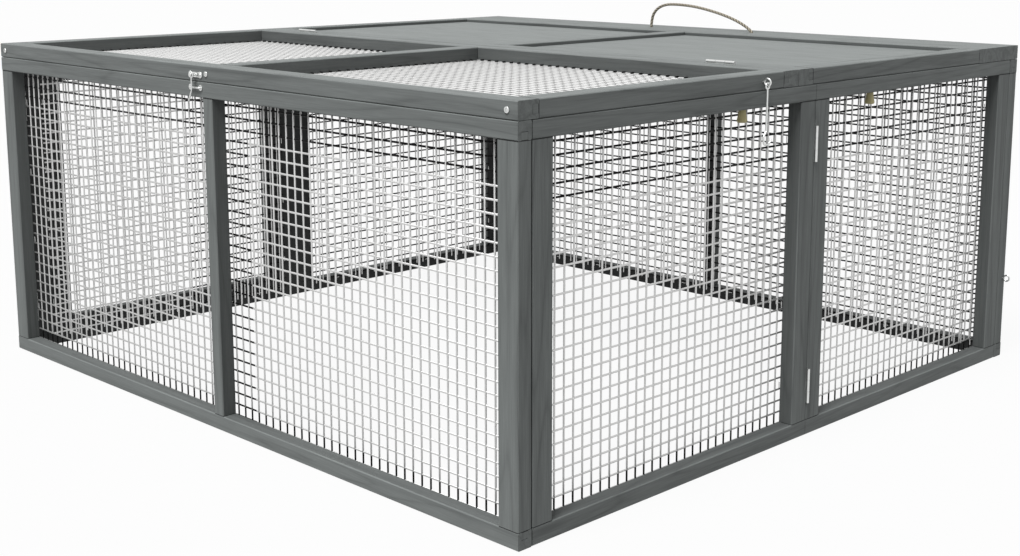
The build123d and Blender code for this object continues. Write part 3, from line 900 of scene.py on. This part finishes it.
@dataclass
class InnerFrame:
    """Second frame of battens inside the front frame of the left side."""

    stile_width: float = 0.030
    rail_height: float = 0.020
    set_back: float = 0.0010
    clearance: float = 0.0004
    arris: float = 0.0010
    # The wide slack spreads the painted shade of the pen's inside over more of this frame
    finish: StainedTimber = StainedTimber(inner_shade_slack=0.0050)

    def build(self) -> None:
        """Builds its two stiles and its two rails."""
        low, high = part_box("left_front_stiles")
        low.x += self.set_back
        high.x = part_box("left_front_mesh")[0].x - self.clearance
        low.y += self.stile_width + self.clearance
        high.y -= self.stile_width + self.clearance
        low.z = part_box("front_wall_bottom_rail")[1].z + self.clearance
        high.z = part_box("front_wall_top_rail")[0].z - self.clearance
        foot, head = low.z + self.rail_height, high.z - self.rail_height
        near, far = low.y + self.stile_width, high.y - self.stile_width
        stiles = [
            batten(low, Vector((high.x, near, high.z)), self.arris),
            batten(Vector((low.x, far, low.z)), high, self.arris),
        ]
        rails = [
            batten(Vector((low.x, near, low.z)), Vector((high.x, far, foot)), self.arris),
            batten(Vector((low.x, near, head)), Vector((high.x, far, high.z)), self.arris),
        ]
        for group, name, grain in ((stiles, "stiles", Axis.Z), (rails, "rails", Axis.Y)):
            name = f"left_inner_{name}"
            material = self.finish.make(f"stain_{name}", grain)
            finish_piece(join_all(group), name, material, "left_front_panel")


@dataclass
class LatchPlate:
    """Plate with two round screwed ends, and the headed post that the latch's arm turns on."""

    metal: Any
    thickness: float = 0.0012
    neck_share: float = 0.78
    post_radius: float = 0.0015
    head_radius: float = 0.00275
    head_thickness: float = 0.0012
    sides: int = 28
    edge: float = 0.0003
    neck_depth_share: float = 0.9

    def build(self) -> None:
        """Builds the plate and its post."""
        low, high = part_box("latch_plate")
        middle = (low + high) / 2
        radius = (high.z - low.z) / 2
        reach = (high.x - low.x) / 2 - radius
        neck = Vector((reach, 0.0, radius * self.neck_share))
        face = Vector((middle.x, high.y, middle.z))
        front = Vector((0.0, self.thickness, 0.0))
        head_start = Vector((middle.x, low.y + self.head_thickness, middle.z))
        ends = [face + Vector((side * reach, 0.0, 0.0)) for side in (-1, 1)]
        pieces = [self._disc(end, radius, self.thickness) for end in ends]
        pieces.append(batten(face - neck - front * self.neck_depth_share, face + neck, self.edge))
        pieces.append(self._disc(face, self.post_radius, face.y - head_start.y))
        pieces.append(self._disc(head_start, self.head_radius, self.head_thickness))
        plate = join_all(pieces)
        finish_piece(plate, "latch_plate_and_post", self.metal, "lid_front")
        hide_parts("latch_plate")

    def _disc(self, place: Vector, radius: float, length: float) -> Any:
        """Makes a round part that reaches forward from a place.

        Args:
            place: The middle of its rear face.
            radius: Its radius.
            length: How far it reaches forward.

        Returns:
            The part.
        """
        disc = bar(length, radius, self.sides, self.edge)
        disc.matrix_world = Matrix.Translation(place - Vector((0.0, length / 2, 0.0))) @ turn_to(Axis.Y)
        return disc


@dataclass
class LatchArm:
    """Bent wire that hangs from the latch's post, with its tail aslant."""

    metal: Any
    ring_radius: float = 0.0031
    wire_radius: float = 0.0011
    bend_drop: float = 0.019
    tail_drop: float = 0.033
    tail_reach: float = 0.008
    bend_start: float = 0.9
    bend_end: float = 0.08

    def build(self) -> None:
        """Builds the arm on its pivot."""
        low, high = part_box("latch_arm")
        outer = (high.y - low.y) / 2 + self.ring_radius
        centre = Vector((high.x - outer, (low.y + high.y) / 2, high.z - outer))
        deselect_all()
        bpy.ops.mesh.primitive_torus_add(
            major_radius=self.ring_radius, minor_radius=self.wire_radius, major_segments=28,
            minor_segments=10, location=centre, rotation=(math.radians(90), 0.0, 0.0),
        )
        ring = bpy.context.active_object
        slope = Vector((-self.tail_reach, 0.0, self.bend_drop - self.tail_drop))
        bend = Vector((0.0, 0.0, -self.bend_drop))
        top = Vector((0.0, 0.0, -self.ring_radius))
        route = [top, bend * self.bend_start, bend + slope * self.bend_end, bend + slope]
        wire = wire_along("latch_wire", [centre + place for place in route], self.wire_radius)
        arm = join_all([ring, wire])
        bpy.ops.object.shade_smooth_by_angle(angle=SMOOTH_ANGLE)
        finish_piece(arm, "latch_wire_arm", self.metal, "latch_arm")
        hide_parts("latch_arm")


@dataclass
class RopeHandle:
    """Four-strand carrying rope over the wide rear rail of the lid."""

    light: Any
    dark: Any
    diameter: float = 0.005
    length: float = 0.273
    lay: float = 0.013
    strands: int = 4
    strand_share: float = 0.42
    knot_rings: int = 2
    knot_spread: float = 0.62
    knot_fullness: float = 1.05
    knot_tilt: float = 0.12
    knot_roll: float = 0.1
    # Distance from the middle and height above the rail
    route: list[tuple[float, float]] = field(default_factory=lambda: [
        (-0.110, -0.011),
        (-0.110, 0.014),
        (-0.100, 0.031),
        (-0.080, 0.0405),
        (-0.050, 0.0415),
        (-0.012, 0.039),
        (0.030, 0.0315),
        (0.066, 0.0220),
        (0.094, 0.0105),
        (0.110, -0.001),
        (0.110, -0.011),
    ])

    def build(self) -> None:
        """Builds the rope and the knots under its ends."""
        low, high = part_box("rope_handle")
        line = (low.y + high.y) / 2
        path = self._centre_line(line)
        strands = [self._strand(path, index) for index in range(self.strands)]
        rope = join_all(strands)
        finish_piece(rope, "rope_strands", None, "lid_rear")
        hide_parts("rope_handle")
        knots = self._knots()

    def _centre_line(self, line: float) -> list[Vector]:
        """Returns points along the rope's smooth centre line.

        Args:
            line: The rope's place from front to rear.

        Returns:
            The points in order.
        """
        curve = bpy.data.curves.new("rope_line", "CURVE")
        curve.dimensions = "3D"
        spline = curve.splines.new("NURBS")
        spline.points.add(len(self.route) - 1)
        for point, (x, z) in zip(spline.points, self.route):
            point.co = (x, line, LID_TOP + z, 1.0)
        spline.order_u = 3
        spline.use_endpoint_u = True
        spline.resolution_u = 30
        holder = bpy.data.objects.new("rope_line", curve)
        bpy.context.collection.objects.link(holder)
        mesh = bpy.data.meshes.new_from_object(holder)
        points = [vertex.co.copy() for vertex in mesh.vertices]
        bpy.data.objects.remove(holder)
        bpy.data.meshes.remove(mesh)
        return points

    def _strand(self, path: list[Vector], index: int) -> Any:
        """Winds one strand round the centre line.

        Args:
            path: The centre line.
            index: Which of the strands.

        Returns:
            The strand as a mesh.
        """
        strand_radius = self.diameter / 2 * self.strand_share
        offset = self.diameter / 2 - strand_radius
        points = []
        travelled = 0.0
        for number, point in enumerate(path):
            before = path[max(0, number - 1)]
            after = path[min(len(path) - 1, number + 1)]
            forward = (after - before).normalized()
            side = Vector((0.0, 1.0, 0.0))
            up = forward.cross(side)
            travelled += (point - before).length
            angle = math.tau * (travelled / self.lay + index / self.strands)
            around = side * math.cos(angle) + up * math.sin(angle)
            points.append(point + around * offset)
        strand = wire_along(f"strand_{index}", points, strand_radius)
        dress_in(strand, self.dark if index % 2 else self.light)
        bpy.ops.object.shade_smooth()
        return strand

    def _knots(self) -> Any:
        """Builds a wound knot under each rope end.

        Returns:
            The knots as one piece.
        """
        low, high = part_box("rope_knots")
        height = high.z - low.z
        ring_radius = height / (2 * self.knot_rings)
        reach = (high.y - low.y) / 2 - ring_radius
        rings = []
        for x in (self.route[0][0], self.route[-1][0]):
            for number in range(self.knot_rings):
                deselect_all()
                bpy.ops.mesh.primitive_torus_add(
                    major_radius=reach * self.knot_spread, minor_radius=ring_radius * self.knot_fullness,
                    major_segments=24, minor_segments=10,
                    location=(x, (low.y + high.y) / 2, low.z + ring_radius * (1 + 2 * number)),
                    rotation=(self.knot_tilt * (1 - 2 * number), self.knot_roll * number, 0.0),
                )
                rings.append(bpy.context.active_object)
        knots = join_all(rings)
        bpy.ops.object.shade_smooth()
        finish_piece(knots, "rope_end_knots", self.light, "lid_rear")
        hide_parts("rope_knots")
        return knots


@dataclass
class TimberFrames:
    """Finish of every batten and board of the walls and the lid."""

    finish: StainedTimber = StainedTimber()
    board_finish: StainedTimber = StainedTimber(recess_shade_share=0.0)
    board_depth: float = 0.75
    batten_depth: float = 1.05
    depth_step: float = 0.08
    depth_count: int = 4

    def dress(self) -> None:
        """Gives each timber node its own grain and joint lines."""
        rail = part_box("front_wall_bottom_rail")[1].z
        under_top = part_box("front_wall_top_rail")[0].z
        front = (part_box("lid_front_front_rail")[1].y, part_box("lid_front_seam_rail")[0].y)
        rear = (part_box("lid_rear_seam_rail")[1].y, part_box("lid_rear_handle_rail")[0].y)
        for number, (name, node) in enumerate(sorted(NODES.items())):
            if not name.endswith(("rail", "rails", "stiles", "boards")):
                continue
            joints: tuple[float, ...] = ()
            if name.endswith("stiles"):
                grain, joints = Axis.Z, (rail, under_top)
            elif name.startswith(("right_", "left_")):
                grain = Axis.Y
            elif name.endswith(("side_rails", "centre_rail")):
                grain, joints = Axis.Y, front if name.startswith("lid_front") else rear
            else:
                grain = Axis.X
            finish, depth = self.finish, self.batten_depth + self.depth_step * (number % self.depth_count)
            if name.endswith("boards"):
                finish, depth = self.board_finish, self.board_depth
            dress_in(node, finish.make(f"stain_{name}", grain, joints, depth))
            LOG.info("%s stained", name)


@dataclass
class Fittings:
    """Finish of the hinges, eyes, hooks, latch and stoppers, and the small screws on the latch."""

    metal: Any
    khaki: Any
    screw_radius: float = 0.0022
    screw_height: float = 0.0009
    plate_screw_spacing: float = 0.0216

    def dress(self) -> None:
        """Dresses the fittings' nodes."""
        endings = ("leaves", "pins", "eyes", "hook", "keeper", "plate", "arm", "screws")
        for name, node in NODES.items():
            if name.endswith(endings):
                dress_in(node, self.metal)
            elif name.endswith("cord_stopper"):
                dress_in(node, self.khaki)

    def build(self) -> None:
        """Builds the screws of the lid's front edge and of the latch plate."""
        low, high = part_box("lid_front_screws")
        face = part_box("lid_front_front_rail")[0].y
        middle_z = (low.z + high.z) / 2
        radius = (high.z - low.z) / 2
        ends = (low.x + radius, 0.0, high.x - radius)
        CrossHeadScrews(
            "lid_edge_screws", "lid_front", [Vector((x, face, middle_z)) for x in ends], self.metal,
            radius, face - low.y, ("lid_front_screws",),
        ).build()
        low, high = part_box("latch_plate")
        middle = (low + high) / 2
        plate_face = face - LatchPlate.thickness
        half = self.plate_screw_spacing / 2
        spots = [Vector((middle.x + side * half, plate_face, middle.z)) for side in (-1, 1)]
        CrossHeadScrews(
            "latch_plate_screws", "lid_front", spots, self.metal, self.screw_radius, self.screw_height
        ).build()


@dataclass
class Studio:
    """Pale floor, soft light and the camera at the photograph's place."""

    camera_place: tuple[float, float, float] = (1.5873, -1.5510, 0.6363)
    heading: float = -0.7827
    pitch: float = -0.1780
    focal_pixels: float = 1488.4
    centre_pixels: tuple[float, float] = (526.2, 200.0)
    image_size: tuple[int, int] = (1020, 556)
    sensor: float = 36.0
    floor_size: float = 40.0
    ambient: float = 0.42
    sun_strength: float = 3.7
    sun_direction: tuple[float, float, float] = (0.10, -0.52, 1.05)
    sun_angle: float = 28.0
    floor_bounce: float = 0.22
    floor_white: float = 1.10
    floor_share: float = 0.85
    floor_drop: float = 0.0005

    def build(self) -> None:
        """Builds the floor, the lights, the world and the camera."""
        self._floor()
        self._sun()
        self._world()
        self._camera()
        bpy.context.scene.view_settings.view_transform = "Standard"

    @staticmethod
    def _seen(board: NodeBoard) -> Socket:
        """Tells which rays show the surroundings to the camera, directly or in metal.

        Args:
            board: The node board.

        Returns:
            1 for those rays and 0 for the others.
        """
        seen = board.make("ShaderNodeLightPath", {}, {}, "Is Camera Ray")
        for kind in ("Is Glossy Ray", "Is Transmission Ray"):
            seen = seen.largest(board.make("ShaderNodeLightPath", {}, {}, kind))
        return seen

    def _floor(self) -> None:
        """Builds the floor under the pen."""
        deselect_all()
        bpy.ops.mesh.primitive_plane_add(size=self.floor_size, location=(0, 0, -self.floor_drop))
        floor = bpy.context.active_object
        floor.name = "studio_floor"
        material, board = new_material("studio_floor")
        matt = board.make("ShaderNodeBsdfDiffuse", {}, {"Color": grey(self.floor_bounce)})
        glow = board.make("ShaderNodeEmission", {}, {"Color": grey(1.0), "Strength": self.floor_white})
        factor = self._seen(board) * self.floor_share
        mixed = board.make("ShaderNodeMixShader", {}, {0: factor, 1: matt, 2: glow})
        board.make("ShaderNodeOutputMaterial", {}, {"Surface": mixed})
        floor.data.materials.append(material)

    def _sun(self) -> None:
        """Builds the broad soft light from above the front wall."""
        lamp = bpy.data.lights.new("soft_light", "SUN")
        lamp.energy = self.sun_strength
        lamp.angle = math.radians(self.sun_angle)
        holder = bpy.data.objects.new("soft_light", lamp)
        direction = Vector(self.sun_direction)
        holder.rotation_euler = direction.to_track_quat("Z", "Y").to_euler()
        bpy.context.collection.objects.link(holder)

    def _world(self) -> None:
        """Fills the world with even light, white where it is seen."""
        world = bpy.data.worlds.new("studio_world")
        bpy.context.scene.world = world
        world.use_nodes = True
        board = NodeBoard(world.node_tree)
        fill = board.make("ShaderNodeBackground", {}, {"Color": grey(1.0), "Strength": self.ambient})
        white = board.make("ShaderNodeBackground", {}, {"Color": grey(1.0), "Strength": 1.0})
        mixed = board.make("ShaderNodeMixShader", {}, {0: self._seen(board), 1: fill, 2: white})
        board.make("ShaderNodeOutputWorld", {}, {"Surface": mixed})

    def _camera(self) -> None:
        """Places the camera with the photograph's field of view."""
        width, height = self.image_size
        data = bpy.data.cameras.new("photograph_view")
        data.sensor_fit = "HORIZONTAL"
        data.sensor_width = self.sensor
        data.lens = self.focal_pixels * self.sensor / width
        data.shift_x = (width / 2 - self.centre_pixels[0]) / width
        data.shift_y = (self.centre_pixels[1] - height / 2) / width
        camera = bpy.data.objects.new("photograph_view", data)
        camera.location = self.camera_place
        camera.rotation_euler = (math.pi / 2 + self.pitch, 0.0, -self.heading)
        bpy.context.collection.objects.link(camera)
        bpy.context.scene.camera = camera


@dataclass
class CageWires:
    """The wire sheets of the walls and the lid, with the reach of the timber's shade on them."""

    foot_clearance: float = 0.001
    lid_shade: float = 0.092
    rail_shade: float = 0.067
    stile_lap: float = 0.005
    stile_shade: float = 0.045
    left_shade_start: float = -0.22
    lid_cross_depth: float = 0.0020
    lid_metal: WeldedWire = WeldedWire((0.60, 0.60, 0.595, 1.0), dull=0.57, roughness=0.7)

    def build(self, staple_metal: Any) -> None:
        """Builds every sheet.

        Args:
            staple_metal: The staples' material.
        """
        for sheet in self._sheets():
            sheet.build(staple_metal)

    def _sheets(self) -> list[WireSheet]:
        """Lists the sheets with the dark stretches of their wires.

        Returns:
            The sheets, not yet built.
        """
        rail_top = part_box("right_front_rails")[1].z
        foot = (Axis.Z, 0.0, WireSheet.lowest_row - self.foot_clearance)
        under_lid = (Axis.Z, rail_top - self.lid_shade, rail_top)
        under_rail = (Axis.Z, rail_top - self.rail_shade, rail_top)
        stile_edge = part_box("lid_front_centre_rail")[1].x - self.stile_lap
        beside_stile = (Axis.X, stile_edge, stile_edge + self.stile_shade)
        behind_frame = (Axis.Y, self.left_shade_start, INNER_Y)
        whole = (Axis.Z, 0.0, rail_top)
        return [
            WireSheet("front_wall_mesh", "front_wall", (foot,), (under_rail, beside_stile)),
            WireSheet("rear_wall_mesh", "rear_wall", (), (whole,)),
            WireSheet("right_front_mesh", "right_front_panel", (foot,), (under_lid,)),
            WireSheet("right_rear_mesh", "right_rear_panel", (foot,), (under_lid,)),
            WireSheet("left_front_mesh", "left_front_panel", (), (behind_frame,)),
            WireSheet("left_rear_mesh", "left_rear_panel", (), (whole,)),
            WireSheet(
                "lid_front_mesh", "lid_front", cross_depth=self.lid_cross_depth, metal=self.lid_metal
            ),
        ]


def main() -> None:
    """Builds and dresses the cage, and sets up the studio."""
    logging.basicConfig(level=logging.INFO, format="%(message)s")
    zinc = BrightZinc().make("zinc_plate")
    light_yarn = TwistedFibre((0.56, 0.52, 0.43, 1.0), (0.36, 0.32, 0.25, 1.0)).make("pale_yarn")
    dark_yarn = TwistedFibre((0.16, 0.14, 0.11, 1.0), (0.08, 0.07, 0.05, 1.0)).make("dark_yarn")

    TimberFrames().dress()
    fittings = Fittings(zinc, KhakiMoulding().make("khaki_stopper"))
    fittings.dress()
    fittings.build()
    LatchPlate(zinc).build()
    LatchArm(zinc).build()
    InnerFrame().build()
    CageWires().build(zinc)
    RopeHandle(light_yarn, dark_yarn).build()
    Studio().build()


if __name__ == "__main__":
    main()
